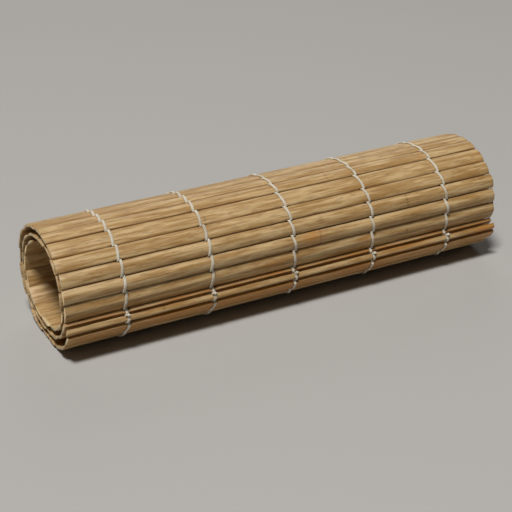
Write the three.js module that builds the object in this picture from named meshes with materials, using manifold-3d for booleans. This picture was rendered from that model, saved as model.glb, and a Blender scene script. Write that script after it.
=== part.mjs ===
// A bamboo rolling mat, wound into a loose roll that lies on its side.
// Flat bamboo slats lie edge to edge and are laced together by rows of twined cotton string.
// Millimetres, +Z up, +X along the slats. The roll rests on the plane Z = 0.

import * as THREE from 'three';
import { mergeVertices } from 'three/addons/utils/BufferGeometryUtils.js';
import Module from 'manifold-3d';

const wasm = await Module();
wasm.setup();

// Slats: all of one length, flat inside and crowned outside, eased along their edges
const SLAT_LENGTH = 240;
const SLAT_THICKNESS = 1.6;
const SLAT_CROWN = 0.5;
const SLAT_SHOULDER = 0.9;
const SLAT_EASED_EDGE = 0.6;
const SLAT_GAP = 1.3;
const END_UNEVENNESS = 0.35;
const CURVE_STEPS = 3;

// Runs of slats of like width, from the loose outer edge to the edge that is rolled inside.
// The pitch is the width that one slat and its gap take up along the mat.
const SLAT_RUNS = [
  { slats: 1, pitch: 6.4 },
  { slats: 2, pitch: 7.47 },
  { slats: 10, pitch: 8.43 },
  { slats: 6, pitch: 7.47 },
  { slats: 1, pitch: 9.4 },
  { slats: 3, pitch: 7.67 },
  { slats: 1, pitch: 10.7 },
  { slats: 19, pitch: 8.49 },
  { slats: 6, pitch: 10.18 },
  { slats: 4, pitch: 9.2 },
];

// Rows of string: where each lies along the slats, and which way its stitches lean across them
const ROWS = [
  { position: -90, lean: -1 },
  { position: -45, lean: -1 },
  { position: 0, lean: 1 },
  { position: 45, lean: 1 },
  { position: 90, lean: 1 },
];

// String: a pair of strands to each row, flattened where they cross a slat
const STRAND_THICKNESS = 0.35;
const STRAND_WIDTH = 1.0;
const STRAND_SPREAD = 0.65;
const STRAND_TURN = 0.4;
const KNOT_RADIUS = 0.9;

// Daylight between pieces that lie against each other
const CLEARANCE = 0.3;

// The winding, seen along the slats: the middle of the mat's thickness, from the loose outer
// edge at the lower front to the edge that is rolled inside. Angles run from the back of the
// roll over its top, and radii are measured from the roll's middle.
const WINDING = [
  { angle: -163.15, radius: 33.0 },
  { angle: -141, radius: 33.5 },
  { angle: -115, radius: 31.7 },
  { angle: -90, radius: 29.5 },
  { angle: -76, radius: 30.6 },
  { angle: -58, radius: 32.6 },
  { angle: -35, radius: 34.0 },
  { angle: -10, radius: 34.2 },
  { angle: 15, radius: 32.1 },
  { angle: 35, radius: 30.2 },
  { angle: 60, radius: 28.2 },
  { angle: 90, radius: 26.9 },
  { angle: 115, radius: 27.4 },
  { angle: 135, radius: 28.3 },
  { angle: 152, radius: 29.1 },
  { angle: 176, radius: 29.0 },
  { angle: 198, radius: 29.0 },
  { angle: 219, radius: 28.3 },
  { angle: 245, radius: 26.8 },
  { angle: 270, radius: 25.3 },
  { angle: 300, radius: 27.8 },
  { angle: 325, radius: 30.2 },
  { angle: 350, radius: 30.3 },
  { angle: 381, radius: 27.6 },
  { angle: 405, radius: 24.9 },
  { angle: 432, radius: 23.1 },
  { angle: 460, radius: 23.2 },
  { angle: 480, radius: 24.0 },
  { angle: 500, radius: 24.9 },
  { angle: 520, radius: 25.3 },
  { angle: 540, radius: 25.4 },
  { angle: 560, radius: 25.4 },
  { angle: 580, radius: 24.7 },
  { angle: 605, radius: 23.0 },
  { angle: 630, radius: 21.7 },
  { angle: 660, radius: 24.0 },
  { angle: 685, radius: 26.2 },
  { angle: 714, radius: 25.8 },
  { angle: 740, radius: 23.6 },
  { angle: 768, radius: 21.4 },
  { angle: 795, radius: 19.3 },
];

// The middle of the mat never sinks further than this below the roll's middle, which
// leaves a flat spot of three slats on the surface that the roll lies on
const REST_DEPTH = 28.85;

// How finely the length of the winding is measured
const LENGTH_STEPS = 4000;

const bamboo = new THREE.MeshStandardMaterial({
  name: 'bamboo',
  color: '#bd965c',
  roughness: 0.6,
  metalness: 0,
});
const cotton = new THREE.MeshStandardMaterial({
  name: 'cotton',
  color: '#e4dccb',
  roughness: 0.95,
  metalness: 0,
});

const winding = new THREE.SplineCurve(WINDING.map(({ angle, radius }) => {
  const turn = THREE.MathUtils.degToRad(angle);
  return new THREE.Vector2(radius * Math.cos(turn), radius * Math.sin(turn));
}));
winding.arcLengthDivisions = LENGTH_STEPS;

// The section of the roll: the joints between slats, and each slat's middle, width and directions
function layMat() {
  const length = winding.getLength();
  const pitches = SLAT_RUNS.flatMap(({ slats, pitch }) => new Array(slats).fill(pitch));
  let distance = 0;
  const joints = [0, ...pitches].map((pitch) => {
    distance += pitch;
    const place = winding.getPointAt(distance / length);
    place.y = Math.max(place.y, -REST_DEPTH);
    return { place };
  });
  const slats = joints.slice(1).map((end, index) => {
    const start = joints[index];
    const along = end.place.clone().sub(start.place);
    const width = along.length() - SLAT_GAP;
    along.normalize();
    const middle = start.place.clone().add(end.place).multiplyScalar(0.5);
    const outward = new THREE.Vector2(along.y, -along.x);
    return { start, end, middle, width, along, outward };
  });
  joints.forEach((joint, index) => {
    const before = slats[Math.max(index - 1, 0)];
    const after = slats[Math.min(index, slats.length - 1)];
    joint.through = before.outward.clone().add(after.outward).normalize();
  });
  return slats;
}

// Section of a slat: flat inside with eased edges, gently crowned outside with round shoulders
function slatSection(width) {
  const edge = width / 2;
  const face = SLAT_THICKNESS / 2;
  const flat = edge - SLAT_EASED_EDGE;
  const crownEdge = edge - SLAT_SHOULDER;
  const crownFoot = face - SLAT_CROWN;
  const shoulder = crownFoot - 2 * SLAT_CROWN * SLAT_SHOULDER / crownEdge;
  const section = new THREE.Shape();
  section.moveTo(-flat, -face);
  section.lineTo(flat, -face);
  section.lineTo(edge, -face + SLAT_EASED_EDGE);
  section.quadraticCurveTo(edge, shoulder, crownEdge, crownFoot);
  section.quadraticCurveTo(0, face + SLAT_CROWN, -crownEdge, crownFoot);
  section.quadraticCurveTo(-edge, shoulder, -edge, -face + SLAT_EASED_EDGE);
  section.closePath();
  return section;
}

function makeSlat(slat, index) {
  const unevenness = END_UNEVENNESS * Math.sin(index * index);
  const geometry = new THREE.ExtrudeGeometry(slatSection(slat.width), {
    depth: SLAT_LENGTH,
    steps: 1,
    curveSegments: CURVE_STEPS,
    bevelEnabled: false,
  });
  geometry.translate(0, 0, -SLAT_LENGTH / 2 + unevenness);
  const mesh = new THREE.Mesh(geometry, bamboo);
  mesh.name = `slat_${String(index + 1).padStart(2, '0')}`;
  mesh.position.set(slat.middle.x, slat.middle.y, 0);
  mesh.rotation.z = slat.outward.angle() - Math.PI / 2;
  return mesh;
}

// A strand's route as straight stretches, with its section mitred at each corner and its
// width always along the slats
class StrandPath extends THREE.Curve {
  constructor(points) {
    super();
    this.points = points;
  }

  getSpacedPoints() {
    return this.points;
  }

  computeFrenetFrames() {
    const heading = (from, to) => new THREE.Vector2(to.x - from.x, to.y - from.y).normalize();
    const last = this.points.length - 1;
    const headings = this.points.slice(1).map((point, index) => heading(this.points[index], point));
    const normals = this.points.map((point, index) => {
      const before = headings[Math.max(index - 1, 0)];
      const after = headings[Math.min(index, last - 1)];
      const mitre = before.clone().add(after).normalize();
      const stretch = 1 / mitre.dot(before);
      return new THREE.Vector3(-mitre.y * stretch, mitre.x * stretch, 0);
    });
    const binormals = this.points.map(() => new THREE.Vector3(0, 0, 1));
    return { normals, binormals };
  }
}

const strandSection = new THREE.Shape([
  new THREE.Vector2(-STRAND_THICKNESS / 2, -STRAND_WIDTH / 2),
  new THREE.Vector2(STRAND_THICKNESS / 2, -STRAND_WIDTH / 2),
  new THREE.Vector2(STRAND_THICKNESS / 2, STRAND_WIDTH / 2),
  new THREE.Vector2(-STRAND_THICKNESS / 2, STRAND_WIDTH / 2),
]);

// A point beside a joint: along a slat from it, out through the gap, and along the roll
function pointBeside(joint, slat, along, outward, lengthwise) {
  const lift = outward / joint.through.dot(slat.outward);
  const point = joint.place.clone().addScaledVector(slat.along, along).addScaledVector(joint.through, lift);
  return new THREE.Vector3(point.x, point.y, lengthwise);
}

// The knot that ties off a row lies against the edge of the first or the last slat
function knotCentre(slat, joint, inward) {
  return pointBeside(joint, slat, inward * (SLAT_GAP / 2 - CLEARANCE - KNOT_RADIUS), 0, 0);
}

// One strand passes over a slat and under the next, leaning across each slat as it goes, so
// that the two strands of a row stand side by side where they cross in the gaps
function makeStrand(slats, startsOutside, lean) {
  const lift = SLAT_THICKNESS / 2 + CLEARANCE + STRAND_THICKNESS / 2;
  const first = slats[0];
  const last = slats.at(-1);
  const points = [knotCentre(first, first.start, 1)];
  slats.forEach((slat, index) => {
    const side = (index % 2 === 0) === startsOutside ? 1 : -1;
    const spread = side * lean * STRAND_SPREAD;
    points.push(pointBeside(slat.start, slat, STRAND_TURN, side * lift, -spread));
    points.push(pointBeside(slat.end, slat, -STRAND_TURN, side * lift, spread));
  });
  points.push(knotCentre(last, last.end, -1));
  return new THREE.ExtrudeGeometry(strandSection, {
    steps: points.length - 1,
    extrudePath: new StrandPath(points),
  });
}

function makeKnot(centre) {
  const knot = new THREE.IcosahedronGeometry(KNOT_RADIUS, 0);
  knot.translate(centre.x, centre.y, centre.z);
  return knot;
}

function toSolid(geometry) {
  const bare = geometry.clone();
  bare.deleteAttribute('normal');
  bare.deleteAttribute('uv');
  const merged = mergeVertices(bare);
  return new wasm.Manifold(new wasm.Mesh({
    numProp: 3,
    vertProperties: new Float32Array(merged.attributes.position.array),
    triVerts: new Uint32Array(merged.index.array),
  }));
}

function toGeometry(solid) {
  const mesh = solid.getMesh();
  const geometry = new THREE.BufferGeometry();
  geometry.setAttribute('position', new THREE.BufferAttribute(mesh.vertProperties, 3));
  geometry.setIndex(new THREE.BufferAttribute(mesh.triVerts, 1));
  geometry.computeVertexNormals();
  return geometry;
}

// A row is its two strands, tied into one knot at each end of the mat
function rowGeometry(slats, lean) {
  const first = slats[0];
  const last = slats.at(-1);
  const pieces = [
    makeStrand(slats, true, lean),
    makeStrand(slats, false, lean),
    makeKnot(knotCentre(first, first.start, 1)),
    makeKnot(knotCentre(last, last.end, -1)),
  ];
  return toGeometry(pieces.map(toSolid).reduce((whole, piece) => whole.add(piece)));
}

function makeRow({ position, lean }, index) {
  const mesh = new THREE.Mesh(rowGeometry(slats, lean), cotton);
  mesh.name = `string_row_${index + 1}`;
  mesh.position.z = position;
  return mesh;
}

// The roll is drawn with its section upright in X and Y, then laid with its length along X
const slats = layMat();
const roll = new THREE.Group();
roll.add(...slats.map(makeSlat));
roll.add(...ROWS.map(makeRow));
roll.rotation.set(Math.PI / 2, Math.PI / 2, 0);

// The origin lies on the resting plane, under the middle of the roll
const mat = new THREE.Group();
mat.add(roll);
mat.updateMatrixWorld(true);
const box = new THREE.Box3().setFromObject(mat, true);
const middle = box.getCenter(new THREE.Vector3());
roll.position.set(-middle.x, -middle.y, -box.min.z);

export default mat;
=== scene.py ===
"""A rolled bamboo sushi mat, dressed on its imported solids.

Each solid slat gives way to a split bamboo slat with a crown, soft edges, nodes and grain, and each
solid row of lacing to two strands of twisted cotton that cross between the slats. Metres, +Z up.
"""

import logging
import math
import random
from dataclasses import dataclass, field, replace
from enum import Enum
from typing import Any

import bmesh
import bpy
from mathutils import Matrix, Vector, noise

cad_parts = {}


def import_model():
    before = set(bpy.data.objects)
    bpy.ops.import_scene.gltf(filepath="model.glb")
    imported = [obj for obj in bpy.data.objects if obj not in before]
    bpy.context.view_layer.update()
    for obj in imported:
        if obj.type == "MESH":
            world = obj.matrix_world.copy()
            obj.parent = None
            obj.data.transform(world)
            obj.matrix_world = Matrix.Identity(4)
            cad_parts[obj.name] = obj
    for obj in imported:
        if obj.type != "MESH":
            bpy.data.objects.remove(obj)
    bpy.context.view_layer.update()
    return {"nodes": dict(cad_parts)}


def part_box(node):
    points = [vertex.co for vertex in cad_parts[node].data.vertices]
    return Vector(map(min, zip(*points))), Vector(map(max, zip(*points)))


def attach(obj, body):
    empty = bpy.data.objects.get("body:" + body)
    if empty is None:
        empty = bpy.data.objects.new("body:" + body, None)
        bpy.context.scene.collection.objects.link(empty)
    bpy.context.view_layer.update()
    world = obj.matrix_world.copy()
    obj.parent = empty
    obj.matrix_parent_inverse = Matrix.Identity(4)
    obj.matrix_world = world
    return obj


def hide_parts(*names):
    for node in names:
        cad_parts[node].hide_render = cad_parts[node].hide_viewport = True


log = logging.getLogger("sushi_mat")

MM = 0.001
LENGTHWISE = Vector((1.0, 0.0, 0.0))


class Side(Enum):
    """The side of the mat that a strand lies on."""

    OUTSIDE = 1
    INSIDE = -1

    def other(self) -> "Side":
        """The opposite side of the mat."""
        return Side(-self.value)


class Hand(Enum):
    """Which way the stitches of a row lean: towards the right or the left end as the mat winds inwards."""

    RIGHT = 1
    LEFT = -1


def linear(hex_colour: str) -> tuple[float, float, float, float]:
    """Turns an sRGB hex colour into the linear colour that a shader takes.

    Args:
        hex_colour: The colour as "#rrggbb".

    Returns:
        Linear red, green and blue, with an alpha of 1.
    """
    shares = [int(hex_colour[start:start + 2], 16) / 255 for start in (1, 3, 5)]
    levels = [s / 12.92 if s <= 0.04045 else ((s + 0.055) / 1.055) ** 2.4 for s in shares]
    return (levels[0], levels[1], levels[2], 1.0)


def add_node(
    material: bpy.types.Material,
    kind: str,
    settings: dict[str, Any] | None = None,
    inputs: dict[str | int, Any] | None = None,
) -> bpy.types.Node:
    """Adds a shader node with its settings and links.

    Args:
        material: The material whose tree takes the node.
        kind: The node's type, without the ShaderNode prefix.
        settings: Properties of the node.
        inputs: Input sockets by name or number, each a value or another node's output.

    Returns:
        The new node.
    """
    tree = material.node_tree
    node = tree.nodes.new(f"ShaderNode{kind}")
    for name, value in (settings or {}).items():
        setattr(node, name, value)
    for name, value in (inputs or {}).items():
        if isinstance(value, bpy.types.NodeSocket):
            tree.links.new(value, node.inputs[name])
        else:
            node.inputs[name].default_value = value
    return node


def new_material(name: str) -> bpy.types.Material:
    """Makes an empty node material.

    Args:
        name: The material's name.

    Returns:
        The material, with no nodes.
    """
    material = bpy.data.materials.new(name)
    material.use_nodes = True
    material.node_tree.nodes.clear()
    return material


def per_size(along: float, across: float) -> tuple[float, float, float]:
    """Mapping scales for features of these sizes, in metres, along a slat and across or through it."""
    return (1 / along, 1 / across, 1 / across)


@dataclass(frozen=True)
class BambooFinish:
    """Split bamboo, planed and dried.

    It gives the eye straw to tan in short fibre streaks, a soft broken gloss, edges browned partly by real
    dirt and partly by painted shade in the joints, and a few nodes.
    """

    straw: str = "#ceaf7d"
    tan: str = "#a7804a"
    umber: str = "#66411d"
    amber: str = "#b5782c"
    pith: str = "#ddc79b"
    # The fibres are about 0.1 mm wide, too fine to show, so their flecks are drawn this wide
    fleck: float = 0.45 * MM
    fleck_run: float = 5 * MM
    mottle: float = 1.1 * MM
    mottle_run: float = 7 * MM
    streak: float = 1.7 * MM
    streak_run: float = 24 * MM
    patch: float = 7 * MM
    patch_run: float = 30 * MM
    node_spacing: float = 420 * MM
    node_band: float = 1.3 * MM
    fleck_relief: float = 0.04 * MM
    node_relief: float = 0.06 * MM
    polished: float = 0.42
    dull: float = 0.6
    ior: float = 1.5

    def material(self) -> bpy.types.Material:
        """Builds the material. Its pattern is solid and follows each slat's own grain attribute.

        Returns:
            The bamboo material.
        """
        material = new_material("split bamboo, planed")
        grain = add_node(material, "Attribute", {"attribute_name": "grain"}).outputs["Vector"]
        across = add_node(material, "Attribute", {"attribute_name": "across"}).outputs["Fac"]
        stain = add_node(material, "Attribute", {"attribute_name": "stain"}).outputs["Fac"]
        cut = add_node(material, "Attribute", {"attribute_name": "cut"}).outputs["Fac"]
        sizes = (
            (self.fleck_run, self.fleck),
            (self.mottle_run, self.mottle),
            (self.streak_run, self.streak),
            (self.patch_run, self.patch),
        )
        patterns: list[bpy.types.NodeSocket] = []
        for run, width in sizes:
            mapped = add_node(material, "Mapping", {}, {"Vector": grain, "Scale": per_size(run, width)})
            drawn_out = {"Vector": mapped.outputs["Vector"], "Scale": 1.0, "Detail": 3.0, "Roughness": 0.6}
            patterns.append(add_node(material, "TexNoise", {}, drawn_out).outputs["Fac"])
        flecks, mottle, streaks, patches = patterns

        # A node of the cane crosses a slat as a thin, broken and slightly raised band
        lengthwise = add_node(material, "SeparateXYZ", {}, {"Vector": grain}).outputs["X"]
        wobble = {0: mottle, 1: 2 * self.node_band, 2: lengthwise}
        crooked = add_node(material, "Math", {"operation": "MULTIPLY_ADD"}, wobble).outputs[0]
        folded = {0: crooked, 1: self.node_spacing / 2}
        from_node = add_node(material, "Math", {"operation": "PINGPONG"}, folded).outputs[0]
        band = {"Value": from_node, "From Min": self.node_band, "From Max": 0.2 * self.node_band}
        node = add_node(material, "MapRange", {"interpolation_type": "SMOOTHSTEP"}, band).outputs["Result"]
        broken = add_node(material, "Math", {"operation": "MULTIPLY"}, {0: node, 1: streaks}).outputs[0]

        # Stains follow the streaks, the edges of a slat are browner than its crown, partly from real
        # browning and dirt and partly as painted shade in the joints between slats, and its ends are pale
        stained = add_node(material, "Math", {"operation": "MULTIPLY"}, {0: stain, 1: streaks}).outputs[0]
        edge = add_node(material, "Math", {"operation": "ABSOLUTE"}, {0: across}).outputs[0]
        # A layer is its share, where it sets in, where it is full, the most of it that shows, and its tint
        layers = (
            (streaks, 0.36, 0.64, 1.0, self.tan),
            (patches, 0.48, 0.72, 0.6, self.tan),
            (mottle, 0.5, 0.72, 0.4, self.umber),
            (flecks, 0.52, 0.76, 0.45, self.umber),
            # The umber at the edges is partly real browning and dirt, partly painted shade in the joints
            # between slats
            (edge, 0.8, 1.0, 0.35, self.umber),
            (stained, 0.12, 0.5, 0.85, self.amber),
            (broken, 0.3, 0.7, 0.5, self.umber),
            (cut, 0.3, 0.9, 0.75, self.pith),
        )
        colour: Any = linear(self.straw)
        for share, low, high, most, tint in layers:
            stretch = {"Value": share, "From Min": low, "From Max": high, "To Max": most}
            amount = add_node(material, "MapRange", {"interpolation_type": "SMOOTHSTEP"}, stretch)
            blend = {0: amount.outputs["Result"], 6: colour, 7: linear(tint)}
            colour = add_node(material, "Mix", {"data_type": "RGBA"}, blend).outputs[2]

        polish = {
            "Value": flecks,
            "From Min": 0.3,
            "From Max": 0.7,
            "To Min": self.polished,
            "To Max": self.dull,
        }
        gloss = add_node(material, "MapRange", {}, polish)
        raised = {0: node, 1: self.node_relief}
        ridge = add_node(material, "Math", {"operation": "MULTIPLY"}, raised).outputs[0]
        fibres = {0: flecks, 1: self.fleck_relief, 2: ridge}
        height = add_node(material, "Math", {"operation": "MULTIPLY_ADD"}, fibres).outputs[0]
        relief = add_node(material, "Bump", {}, {"Height": height, "Strength": 1.0, "Distance": 1.0})
        surface = {
            "Base Color": colour,
            "Roughness": gloss.outputs["Result"],
            "Normal": relief.outputs["Normal"],
            "IOR": self.ior,
        }
        shader = add_node(material, "BsdfPrincipled", {}, surface)
        add_node(material, "OutputMaterial", {}, {"Surface": shader.outputs["BSDF"]})
        return material


@dataclass(frozen=True)
class CottonFinish:
    """Bleached cotton twine, spun soft.

    It gives the eye a matt, slightly fuzzy off-white that is greyer where it was handled.
    """

    bleached: str = "#dcd3c0"
    handled: str = "#b2a489"
    # The fibres are about 0.02 mm wide, too fine to show, so the fuzz is drawn this coarse
    fuzz: float = 0.22 * MM
    handled_patch: float = 5 * MM
    fuzz_relief: float = 0.08 * MM
    roughness: float = 0.95
    sheen: float = 0.25
    sheen_roughness: float = 0.5

    def material(self) -> bpy.types.Material:
        """Builds the material on Object coordinates. The twist itself is in the mesh.

        Returns:
            The cotton material.
        """
        material = new_material("bleached cotton twine")
        place = add_node(material, "TexCoord").outputs["Object"]
        fine = {"Vector": place, "Scale": 1 / self.fuzz, "Detail": 3.0}
        fuzz = add_node(material, "TexNoise", {}, fine).outputs["Fac"]
        coarse = {"Vector": place, "Scale": 1 / self.handled_patch, "Detail": 2.0}
        patches = add_node(material, "TexNoise", {}, coarse).outputs["Fac"]
        spread = {"Value": patches, "From Min": 0.4, "From Max": 0.75, "To Max": 0.8}
        shade = add_node(material, "MapRange", {}, spread).outputs["Result"]
        blend = {0: shade, 6: linear(self.bleached), 7: linear(self.handled)}
        colour = add_node(material, "Mix", {"data_type": "RGBA"}, blend).outputs[2]
        raised = {"Height": fuzz, "Strength": 0.6, "Distance": self.fuzz_relief}
        relief = add_node(material, "Bump", {}, raised)
        surface = {
            "Base Color": colour,
            "Roughness": self.roughness,
            "Sheen Weight": self.sheen,
            "Sheen Roughness": self.sheen_roughness,
            "Normal": relief.outputs["Normal"],
        }
        shader = add_node(material, "BsdfPrincipled", {}, surface)
        add_node(material, "OutputMaterial", {}, {"Surface": shader.outputs["BSDF"]})
        return material


@dataclass(frozen=True)
class SlatPlace:
    """Where one slat lies in the roll, as its solid says."""

    middle: Vector
    across: Vector
    outward: Vector
    width: float
    left: float
    right: float

    @classmethod
    def read(cls, solid: bpy.types.Object) -> "SlatPlace":
        """Reads the place from a solid, whose largest face is the flat inner side.

        Args:
            solid: The slat's CAD node.

        Returns:
            The slat's middle, its directions, its width and its two ends.
        """
        inner_side = max(solid.data.polygons, key=lambda face: face.area)
        outward = -inner_side.normal.normalized()
        across = outward.cross(LENGTHWISE)
        points = [vertex.co for vertex in solid.data.vertices]
        sides = [point.dot(across) for point in points]
        depths = [point.dot(outward) for point in points]
        ends = [point.x for point in points]
        middle = across * (min(sides) + max(sides)) / 2 + outward * (min(depths) + max(depths)) / 2
        return cls(middle, across, outward, max(sides) - min(sides), min(ends), max(ends))

    def widened(self, before: float, after: float) -> "SlatPlace":
        """Moves the edge towards the loose end outwards by before, and the other edge by after."""
        middle = self.middle + self.across * (before - after) / 2
        return replace(self, middle=middle, width=self.width + before + after)

    def tilted(self, angle: float) -> "SlatPlace":
        """Turns the slat about its edge towards the inside of the roll.

        Args:
            angle: How far the edge towards the loose end swings outwards, in radians.

        Returns:
            The tilted place.
        """
        across = self.across * math.cos(angle) + self.outward * math.sin(angle)
        outward = self.outward * math.cos(angle) - self.across * math.sin(angle)
        hinge = self.middle - self.across * self.width / 2
        return replace(self, middle=hinge + across * self.width / 2, across=across, outward=outward)

    def matrix(self) -> Matrix:
        """Takes a point along, across and out of the slat to its place in the roll."""
        turn = Matrix((LENGTHWISE, self.across, self.outward)).transposed().to_4x4()
        return Matrix.Translation(self.middle) @ turn


@dataclass(frozen=True)
class Stain:
    """An amber stain: the slat it is on, its place along the slat, its reach and its strength."""

    slat: int
    place: float
    reach: float
    strength: float


@dataclass(frozen=True)
class Crown:
    """The outer curve of a slat: the height of its ridge and of its two edges, and where the ridge lies.

    Shares run across the slat, from -1 at the edge towards the inside of the roll to 1 at the other edge.
    A flank with no sharpness is an even round, and one with more runs straighter from the ridge to its edge.
    """

    height: float = 0.8 * MM
    before: float = 0.0
    after: float = 0.0
    ridge: float = 0.0
    sharp_before: float = 0.0
    sharp_after: float = 0.0
    turn: float = math.radians(62)

    @classmethod
    def of_cane(cls, width: float, radius: float) -> "Crown":
        """The even crown of a slat of this width, split from a round cane of this radius."""
        edge = cls.height - width ** 2 / (8 * radius)
        return cls(before=edge, after=edge)

    @property
    def lowest(self) -> float:
        """The height of the lower of the two edges."""
        return min(self.before, self.after)

    def share_at(self, step: float) -> float:
        """Where a cut lies across the slat, with the cuts close together where the surface turns most.

        Args:
            step: The cut's place in the row of cuts, from -1 to 1.

        Returns:
            The share of the half width.
        """
        sharp = self.sharp_before if step > 0 else self.sharp_after
        along = step * abs(step) if sharp else math.sin(step * self.turn) / math.sin(self.turn)
        return self.ridge + along * (1 - math.copysign(self.ridge, along))

    def height_at(self, share: float) -> float:
        """The height of the outer side at a share of the half width.

        Args:
            share: The place across the slat.

        Returns:
            The height above the middle of the slat's thickness.
        """
        edge, room, sharp = self.after, 1 + self.ridge, self.sharp_after
        if share > self.ridge:
            edge, room, sharp = self.before, 1 - self.ridge, self.sharp_before
        beyond = min(1.0, abs(share - self.ridge) / room)
        if sharp:
            fall = (math.hypot(1, sharp * beyond) - 1) / (math.hypot(1, sharp) - 1)
        else:
            angle = math.asin(beyond * math.sin(self.turn))
            fall = (1 - math.cos(angle)) / (1 - math.cos(self.turn))
        return self.height - (self.height - edge) * fall


class Drift(Enum):
    """What drifts slowly along a slat, and the row of the noise that it follows."""

    LINE = 0.0
    CROWN = 5.0
    WIDTH = 9.0


@dataclass
class Slat:
    """One split bamboo slat: flat inside, half round outside, and a little uneven from end to end."""

    number: int
    place: SlatPlace
    rows: list[float]
    stains: list[Stain]
    node_place: float
    crown: Crown
    inner_height: float = -0.8 * MM
    edge_round: float = 0.24 * MM
    sawn_depth: float = 0.03 * MM
    crown_cuts: int = 11
    length_cuts: int = 79
    gather: float = 0.8
    wander: float = 0.14 * MM
    wander_run: float = 45 * MM
    wander_across: float = 0.5
    wander_out: float = 0.35
    crown_unevenness: float = 0.1
    width_unevenness: float = 0.012
    # These keep any two slats from having the same drift or the same grain
    drift_shift: float = 3.7
    grain_shift: tuple[float, float] = (0.271, 0.137)
    bite: float = 0.42 * MM
    bite_reach: float = 1.6 * MM
    bite_flank: int = 4
    bite_fade: int = 6

    @property
    def width(self) -> float:
        """The width of the slat, from edge to edge."""
        return self.place.width

    def _blank(self) -> bmesh.types.BMesh:
        """Cuts a bar with eased edges, divided along its length and across its outer side.

        Returns:
            The bar, with its length along X, its outer side up and no crown yet.
        """
        length = self.place.right - self.place.left
        depth = self.crown.lowest - self.inner_height
        mesh = bmesh.new()
        bmesh.ops.create_cube(mesh, size=1.0)
        bmesh.ops.scale(mesh, vec=(length, self.width, depth), verts=mesh.verts)
        centre = ((self.place.left + self.place.right) / 2, 0.0, self.inner_height + depth / 2)
        bmesh.ops.translate(mesh, vec=centre, verts=mesh.verts)
        bmesh.ops.bevel(
            mesh,
            geom=list(mesh.edges),
            offset=self.edge_round,
            offset_type="OFFSET",
            affect="EDGES",
            segments=2,
            profile=0.5,
            material=-1,
            clamp_overlap=True,
        )
        crosswise = [
            edge for edge in mesh.edges
            if abs(edge.verts[0].co.y - edge.verts[1].co.y) > self.width / 2
            and edge.verts[0].co.z > centre[2]
        ]
        bmesh.ops.subdivide_edges(mesh, edges=crosswise, cuts=self.crown_cuts, use_grid_fill=True)
        lengthwise = [
            edge for edge in mesh.edges
            if abs(edge.verts[0].co.x - edge.verts[1].co.x) > length / 2
        ]
        bmesh.ops.subdivide_edges(mesh, edges=lengthwise, cuts=self.length_cuts, use_grid_fill=True)
        return mesh

    def _gathered(self, x: float) -> float:
        """Draws the cuts along the slat closer together where the strings cross it.

        Args:
            x: The place of an even cut.

        Returns:
            The place of the gathered cut.
        """
        pitch = self.rows[1] - self.rows[0]
        if not self.rows[0] - pitch / 2 < x < self.rows[-1] + pitch / 2:
            return x
        return x - self.gather * pitch / (2 * math.pi) * math.sin(2 * math.pi * (x - self.rows[0]) / pitch)

    def _uneven(self, x: float, drift: Drift) -> float:
        """A slow drift along the slat, from -1 to 1."""
        return noise.noise(Vector((x / self.wander_run, self.number * self.drift_shift, drift.value)))

    def _bite_at(self, x: float, share: float) -> float:
        """How far the nearest row of string draws the slat in.

        Args:
            x: The place along the slat.
            share: The place across it, as a share of the half width.

        Returns:
            The depth of the notch there.
        """
        nearest = min(abs(x - row) for row in self.rows)
        depth = self.bite * math.exp(-((nearest / self.bite_reach) ** self.bite_flank))
        return depth * abs(share) ** self.bite_fade

    def _stain_at(self, x: float) -> float:
        """How stained the slat is at a place along it, from 0 to 1."""
        marks = (mark.strength * math.exp(-(((x - mark.place) / mark.reach) ** 2)) for mark in self.stains)
        return min(1.0, sum(marks))

    def _shape(self, mesh: bmesh.types.BMesh) -> None:
        """Rounds the outer side, lets the strings bite, and notes what the finish reads at each point.

        Args:
            mesh: The blank, which takes the shape.
        """
        grain = mesh.verts.layers.float_vector.new("grain")
        across = mesh.verts.layers.float.new("across")
        stain = mesh.verts.layers.float.new("stain")
        cut = mesh.verts.layers.float.new("cut")
        half = self.width / 2
        reach = (self.place.right - self.place.left) / 2
        centre = (self.place.right + self.place.left) / 2
        level = (self.crown.lowest + self.inner_height) / 2
        grain_across, grain_out = (self.number * shift for shift in self.grain_shift)
        for vertex in mesh.verts:
            x = self._gathered(vertex.co.x)
            share = vertex.co.y / half
            z = vertex.co.z
            if z > level:
                share = self.crown.share_at(share)
                rise = self.crown.height_at(share) - self.crown.lowest
                z += rise * (1 + self.crown_unevenness * self._uneven(x, Drift.CROWN))
            evenness = 1 + self.width_unevenness * self._uneven(x, Drift.WIDTH)
            breadth = half * evenness - self._bite_at(x, share)
            drift = self.wander * self._uneven(x, Drift.LINE)
            y = share * breadth + drift * self.wander_across
            vertex.co = (x, y, z + drift * self.wander_out)
            vertex[grain] = (x - self.node_place, share * half + grain_across, z + grain_out)
            vertex[across] = share
            vertex[cut] = float(abs(x - centre) > reach - self.sawn_depth)
            vertex[stain] = self._stain_at(x)

    def build(self, finish: bpy.types.Material) -> bpy.types.Object:
        """Makes the slat and lays it in the roll.

        Args:
            finish: The bamboo material.

        Returns:
            The slat's object.
        """
        mesh = self._blank()
        self._shape(mesh)
        bmesh.ops.transform(mesh, matrix=self.place.matrix(), verts=mesh.verts)
        for face in mesh.faces:
            face.smooth = True
        name = f"bamboo_slat_{self.number:02d}"
        data = bpy.data.meshes.new(name)
        mesh.to_mesh(data)
        mesh.free()
        data.materials.append(finish)
        piece = bpy.data.objects.new(name, data)
        bpy.context.scene.collection.objects.link(piece)
        return piece


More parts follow.
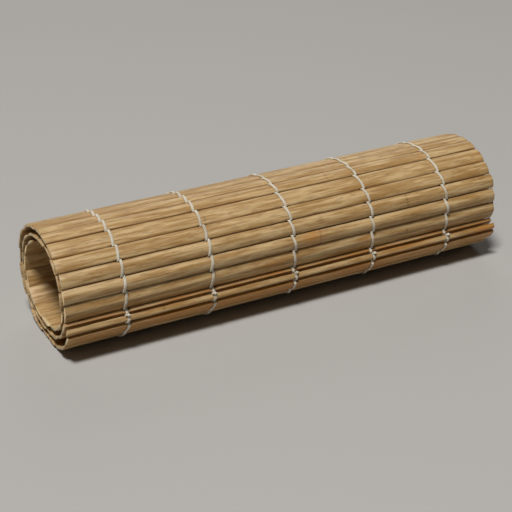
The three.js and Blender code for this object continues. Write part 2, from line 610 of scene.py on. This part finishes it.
@dataclass
class StringRow:
    """One row of lacing: two twisted strands that trade sides of the mat in every gap."""

    number: int
    position: float
    slats: list[Slat]
    hand: Hand
    lean: float = 0.55 * MM
    stray: float = 0.2 * MM
    stray_steps: tuple[float, float, float] = (1.7, 5.3, 0.4)
    supports: tuple[float, ...] = (-0.9, -0.72, -0.4, 0.0, 0.4, 0.72, 0.9)
    ply_radius: float = 0.36 * MM
    ply_spread: float = 0.46 * MM
    ply_lift: float = 0.03 * MM
    twist: float = 2.4 * MM
    step: float = 0.3 * MM
    knot_reach: float = 0.9 * MM
    knot_size: float = 0.18 * MM
    knot_depth: float = 1.4
    knot_points: int = 36

    def _joint(self, index: int) -> Vector:
        """The middle of a gap in the roll's section, or the place of the knot past an end slat.

        Args:
            index: The index of the slat after the gap.

        Returns:
            The place, whose X is still to be set.
        """
        first, last = self.slats[0].place, self.slats[-1].place
        if index == 0:
            return first.middle + first.across * (first.width / 2 + self.knot_reach)
        if index == len(self.slats):
            return last.middle - last.across * (last.width / 2 + self.knot_reach)
        before, after = self.slats[index - 1].place, self.slats[index].place
        edge_before = before.middle - before.across * before.width / 2
        edge_after = after.middle + after.across * after.width / 2
        return (edge_before + edge_after) / 2

    def _crossing(self, index: int) -> float:
        """Where the strands cross in a gap, which strays a little from the line of the row.

        Args:
            index: The index of the slat after the gap.

        Returns:
            The place along the roll.
        """
        gap_step, row_step, start = self.stray_steps
        sample = Vector((index * gap_step, self.number * row_step, start))
        return self.position + self.stray * noise.noise(sample)

    def _strand(self, side: Side) -> list[tuple[Vector, Vector]]:
        """The middle line of one strand.

        Args:
            side: The side of the mat on which it crosses the first slat.

        Returns:
            Points along the strand, each with the direction out of the mat there.
        """
        thickness = self.ply_radius + self.ply_lift
        stops: list[tuple[Vector, Vector]] = []
        for index, slat in enumerate(self.slats):
            place = slat.place
            lean = self.lean * side.value * self.hand.value
            start = self._crossing(index) - lean
            run = self._crossing(index + 1) + lean - start
            joint = self._joint(index)
            joint.x = start
            stops.append((joint, place.outward))
            for share in self.supports:
                height = slat.crown.height_at(-share) if side is Side.OUTSIDE else slat.inner_height
                point = place.middle - place.across * share * slat.width / 2
                point += place.outward * (height + side.value * thickness)
                point.x = start + run * (share + 1) / 2
                stops.append((point, place.outward))
            side = side.other()
        end = self._joint(len(self.slats))
        end.x = self._crossing(len(self.slats))
        stops.append((end, self.slats[-1].place.outward))
        return self._even_steps(stops)

    def _even_steps(self, stops: list[tuple[Vector, Vector]]) -> list[tuple[Vector, Vector]]:
        """Puts points at even steps along straight runs between stops.

        Args:
            stops: Points where the strand turns, each with the direction out of the mat.

        Returns:
            Points close together, each with its direction.
        """
        points: list[tuple[Vector, Vector]] = []
        for (start, out_start), (end, out_end) in zip(stops, stops[1:]):
            count = max(1, round((end - start).length / self.step))
            for number in range(count):
                share = number / count
                points.append((start.lerp(end, share), out_start.lerp(out_end, share).normalized()))
        points.append(stops[-1])
        return points

    def _plies(self, line: list[tuple[Vector, Vector]]) -> list[list[Vector]]:
        """Winds two plies round a strand's middle line, flattened against the slats.

        Args:
            line: Points along the strand, each with the direction out of the mat.

        Returns:
            The middle line of each ply.
        """
        plies: list[list[Vector]] = [[], []]
        travelled = 0.0
        before = line[0][0]
        for point, outward in line:
            travelled += (point - before).length
            before = point
            angle = 2 * math.pi * travelled / self.twist
            for ply, turn in zip(plies, (angle, angle + math.pi)):
                sideways = LENGTHWISE * self.ply_spread * math.cos(turn)
                ply.append(point + sideways + outward * self.ply_lift * math.sin(turn))
        return plies

    def _knot(self, centre: Vector) -> list[Vector]:
        """A small overhand knot, drawn tight, as a closed line.

        Args:
            centre: The middle of the knot.

        Returns:
            The points of the line, which ends where it starts.
        """
        turns = [2 * math.pi * number / self.knot_points for number in range(self.knot_points + 1)]
        return [
            centre + self.knot_size * Vector((
                math.sin(turn) + 2 * math.sin(2 * turn),
                math.cos(turn) - 2 * math.cos(2 * turn),
                -self.knot_depth * math.sin(3 * turn),
            ))
            for turn in turns
        ]

    def build(self, finish: bpy.types.Material) -> bpy.types.Object:
        """Makes the row's yarn as one mesh, pressed flat where the roll lies on it.

        Args:
            finish: The cotton material.

        Returns:
            The row's object.
        """
        name = f"cotton_row_{self.number}"
        yarn = bpy.data.curves.new(name, "CURVE")
        yarn.dimensions = "3D"
        yarn.bevel_depth = self.ply_radius
        yarn.bevel_resolution = 1
        yarn.use_fill_caps = True
        lines = [ply for side in Side for ply in self._plies(self._strand(side))]
        for index in (0, len(self.slats)):
            joint = self._joint(index)
            joint.x = self._crossing(index)
            lines.append(self._knot(joint))
        for line in lines:
            spline = yarn.splines.new("POLY")
            spline.points.add(len(line) - 1)
            spline.points.foreach_set("co", [value for point in line for value in (*point, 1.0)])
        drawn = bpy.data.objects.new(name + "_line", yarn)
        bpy.context.scene.collection.objects.link(drawn)
        bpy.context.view_layer.update()
        data = bpy.data.meshes.new_from_object(drawn.evaluated_get(bpy.context.evaluated_depsgraph_get()))
        bpy.data.objects.remove(drawn)
        data.name = name
        for vertex in data.vertices:
            vertex.co.z = max(vertex.co.z, 0.0)
        data.materials.clear()
        data.materials.append(finish)
        data.polygons.foreach_set("use_smooth", [True] * len(data.polygons))
        piece = bpy.data.objects.new(name, data)
        bpy.context.scene.collection.objects.link(piece)
        return piece


@dataclass
class Mat:
    """The whole mat: its slats and the rows that lace them."""

    solids: dict[str, bpy.types.Object]
    hands: tuple[Hand, ...] = (Hand.LEFT, Hand.LEFT, Hand.RIGHT, Hand.RIGHT, Hand.RIGHT)
    stains: tuple[Stain, ...] = (
        Stain(1, 119 * MM, 10 * MM, 1.0),
        Stain(1, 70 * MM, 40 * MM, 0.5),
        Stain(1, -60 * MM, 90 * MM, 0.4),
        Stain(2, 0.0, 200 * MM, 0.85),
        Stain(19, 86 * MM, 5 * MM, 0.45),
        Stain(19, 42 * MM, 7 * MM, 0.35),
        Stain(20, 116 * MM, 5 * MM, 0.45),
        Stain(23, 10 * MM, 9 * MM, 0.7),
        Stain(24, -16 * MM, 20 * MM, 0.5),
        Stain(24, 41 * MM, 8 * MM, 0.6),
        Stain(25, 0.0, 200 * MM, 0.6),
    )
    # Nodes of the cane at known places along a slat
    seen_nodes: dict[int, float] = field(default_factory=lambda: {22: 68 * MM, 23: 16 * MM, 24: 67 * MM})
    # The low slats of the front: ridge height, the heights of the two edges, the ridge's place, sharpness
    crowns: dict[int, Crown] = field(
        default_factory=lambda: {
            1: Crown(1.0 * MM, -0.5 * MM, -0.05 * MM, 0.1, 2.0, 2.0),
            2: Crown(1.15 * MM, 1.05 * MM, -0.2 * MM, 0.8),
            21: Crown(0.9 * MM, -0.2 * MM, -0.3 * MM, 0.0),
            22: Crown(1.1 * MM, -0.5 * MM, -0.2 * MM, 0.15, 3.0),
            23: Crown(1.35 * MM, -0.6 * MM, -0.2 * MM, 0.15, 3.5),
            24: Crown(1.25 * MM, -0.6 * MM, -0.15 * MM, 0.15, 4.0, 4.0),
            25: Crown(1.35 * MM, 1.2 * MM, -0.3 * MM, 0.8),
        },
    )
    # How far a slat's edge towards the loose end swings outwards
    tilts: dict[int, float] = field(
        default_factory=lambda: {2: math.radians(1.5), 25: math.radians(1.5)},
    )
    # A joint has the number of the slat before it, and a moved one lies this much closer to its middle
    moved_joints: dict[int, float] = field(default_factory=lambda: {1: 1.7 * MM, 24: 0.8 * MM})
    # How much wider than the others these joints are
    open_joints: dict[int, float] = field(
        default_factory=lambda: {20: 0.15 * MM, 21: 0.25 * MM, 22: 0.25 * MM, 23: 0.25 * MM},
    )
    node_range: float = 200 * MM
    cane_radius: float = 8 * MM
    solid_gap: float = 1.3 * MM
    gap: float = 0.25 * MM
    seed: int = 7

    def build(self) -> None:
        """Builds every slat and row, and hands each to the frame in place of its solid."""
        bamboo = BambooFinish().material()
        cotton = CottonFinish().material()
        chance = random.Random(self.seed)
        row_names = sorted(name for name in self.solids if name.startswith("string_row_"))
        rows = [sum(corner.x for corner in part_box(name)) / 2 for name in row_names]
        slat_names = sorted(name for name in self.solids if name.startswith("slat_"))
        slats: list[Slat] = []
        for number, name in enumerate(slat_names, 1):
            node_place = chance.uniform(-self.node_range, self.node_range)
            place = SlatPlace.read(self.solids[name]).widened(*self._edge_moves(number, len(slat_names)))
            slat = Slat(
                number,
                place.tilted(self.tilts.get(number, 0.0)),
                rows,
                [stain for stain in self.stains if stain.slat == number],
                self.seen_nodes.get(number, node_place),
                self.crowns.get(number, Crown.of_cane(place.width, self.cane_radius)),
            )
            slats.append(slat)
            self._hand_over(slat.build(bamboo), name)
        for number, (name, position, hand) in enumerate(zip(row_names, rows, self.hands), 1):
            row = StringRow(number, position, slats, hand)
            self._hand_over(row.build(cotton), name)

    def _reach(self, joint: int) -> float:
        """How far the slats on both sides of a joint reach into the gap between their solids."""
        return (self.solid_gap - self.gap - self.open_joints.get(joint, 0.0)) / 2

    def _edge_moves(self, number: int, count: int) -> tuple[float, float]:
        """How far the long edges of a slat lie outside those of its solid.

        Args:
            number: The slat's number.
            count: How many slats the mat has.

        Returns:
            The move of the edge towards the loose end of the mat, and that of the other edge.
        """
        before = self._reach(number - 1) + self.moved_joints.get(number - 1, 0.0)
        after = self._reach(number) - self.moved_joints.get(number, 0.0)
        return (before if number > 1 else 0.0, after if number < count else 0.0)

    def _hand_over(self, piece: bpy.types.Object, node: str) -> None:
        """Lets a piece ride with the roll and stand for its solid.

        Args:
            piece: The finished slat or row.
            node: The name of its solid.
        """
        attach(piece, "root")
        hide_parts(node)
        log.info("%s stands for %s, %d faces", piece.name, node, len(piece.data.polygons))


@dataclass(frozen=True)
class SoftLight:
    """A square soft light: the way from the roll to it, its distance, its side and its power in watts."""

    name: str
    towards: tuple[float, float, float]
    distance: float
    side: float
    power: float

    def build(self) -> None:
        """Hangs the light so that it faces the roll."""
        data = bpy.data.lights.new(self.name, "AREA")
        data.size = self.side
        data.energy = self.power
        light = bpy.data.objects.new(self.name, data)
        direction = Vector(self.towards).normalized()
        light.location = direction * self.distance
        light.rotation_euler = direction.to_track_quat("Z", "Y").to_euler()
        bpy.context.scene.collection.objects.link(light)


@dataclass
class Studio:
    """The pale floor, the soft light from above and the camera."""

    floor_colour: str = "#b1aea9"
    floor_size: float = 6.0
    floor_roughness: float = 0.9
    room_colour: str = "#f2f4f7"
    room_strength: float = 0.05
    lights: tuple[SoftLight, ...] = (
        SoftLight("key", (-0.25, -0.22, 0.94), 3.0, 0.62, 84.0),
        SoftLight("back", (0.41, 0.79, 0.46), 3.0, 1.6, 12.0),
    )
    target: Vector = field(default_factory=lambda: Vector((-6.795, -2.332, 17.61)) * MM)
    azimuth: float = -27.70
    elevation: float = 27.61
    distance: float = 688.1 * MM
    lens: float = 94.92
    sensor: float = 36.0

    def build(self) -> None:
        """Sets up the floor, the lights and the camera."""
        self._floor()
        for light in self.lights:
            light.build()
        self._world()
        self._camera()

    def _floor(self) -> None:
        """Lays a plain matt floor under the roll."""
        mesh = bmesh.new()
        bmesh.ops.create_grid(mesh, x_segments=1, y_segments=1, size=self.floor_size / 2)
        data = bpy.data.meshes.new("floor")
        mesh.to_mesh(data)
        mesh.free()
        material = new_material("pale matt floor")
        surface = {"Base Color": linear(self.floor_colour), "Roughness": self.floor_roughness}
        shader = add_node(material, "BsdfPrincipled", {}, surface)
        add_node(material, "OutputMaterial", {}, {"Surface": shader.outputs["BSDF"]})
        data.materials.append(material)
        floor = bpy.data.objects.new("floor", data)
        bpy.context.scene.collection.objects.link(floor)

    def _world(self) -> None:
        """Gives the room an even, pale light."""
        world = bpy.data.worlds.new("studio")
        world.use_nodes = True
        background = world.node_tree.nodes["Background"]
        background.inputs["Color"].default_value = linear(self.room_colour)
        background.inputs["Strength"].default_value = self.room_strength
        bpy.context.scene.world = world
        bpy.context.scene.view_settings.view_transform = "Standard"

    def _camera(self) -> None:
        """Places the camera at the photograph's viewing angle."""
        data = bpy.data.cameras.new("camera")
        data.lens = self.lens
        data.sensor_width = self.sensor
        camera = bpy.data.objects.new("camera", data)
        turn, rise = math.radians(self.azimuth), math.radians(self.elevation)
        back = Vector((math.sin(turn) * math.cos(rise), -math.cos(turn) * math.cos(rise), math.sin(rise)))
        camera.location = self.target + back * self.distance
        camera.rotation_euler = back.to_track_quat("Z", "Y").to_euler()
        bpy.context.scene.collection.objects.link(camera)
        bpy.context.scene.camera = camera


def main() -> None:
    """Dresses the mat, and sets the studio."""
    logging.basicConfig(level=logging.INFO, format="%(message)s")
    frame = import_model()
    Mat(frame["nodes"]).build()
    Studio().build()
    bpy.context.view_layer.update()


if __name__ == "__main__":
    main()
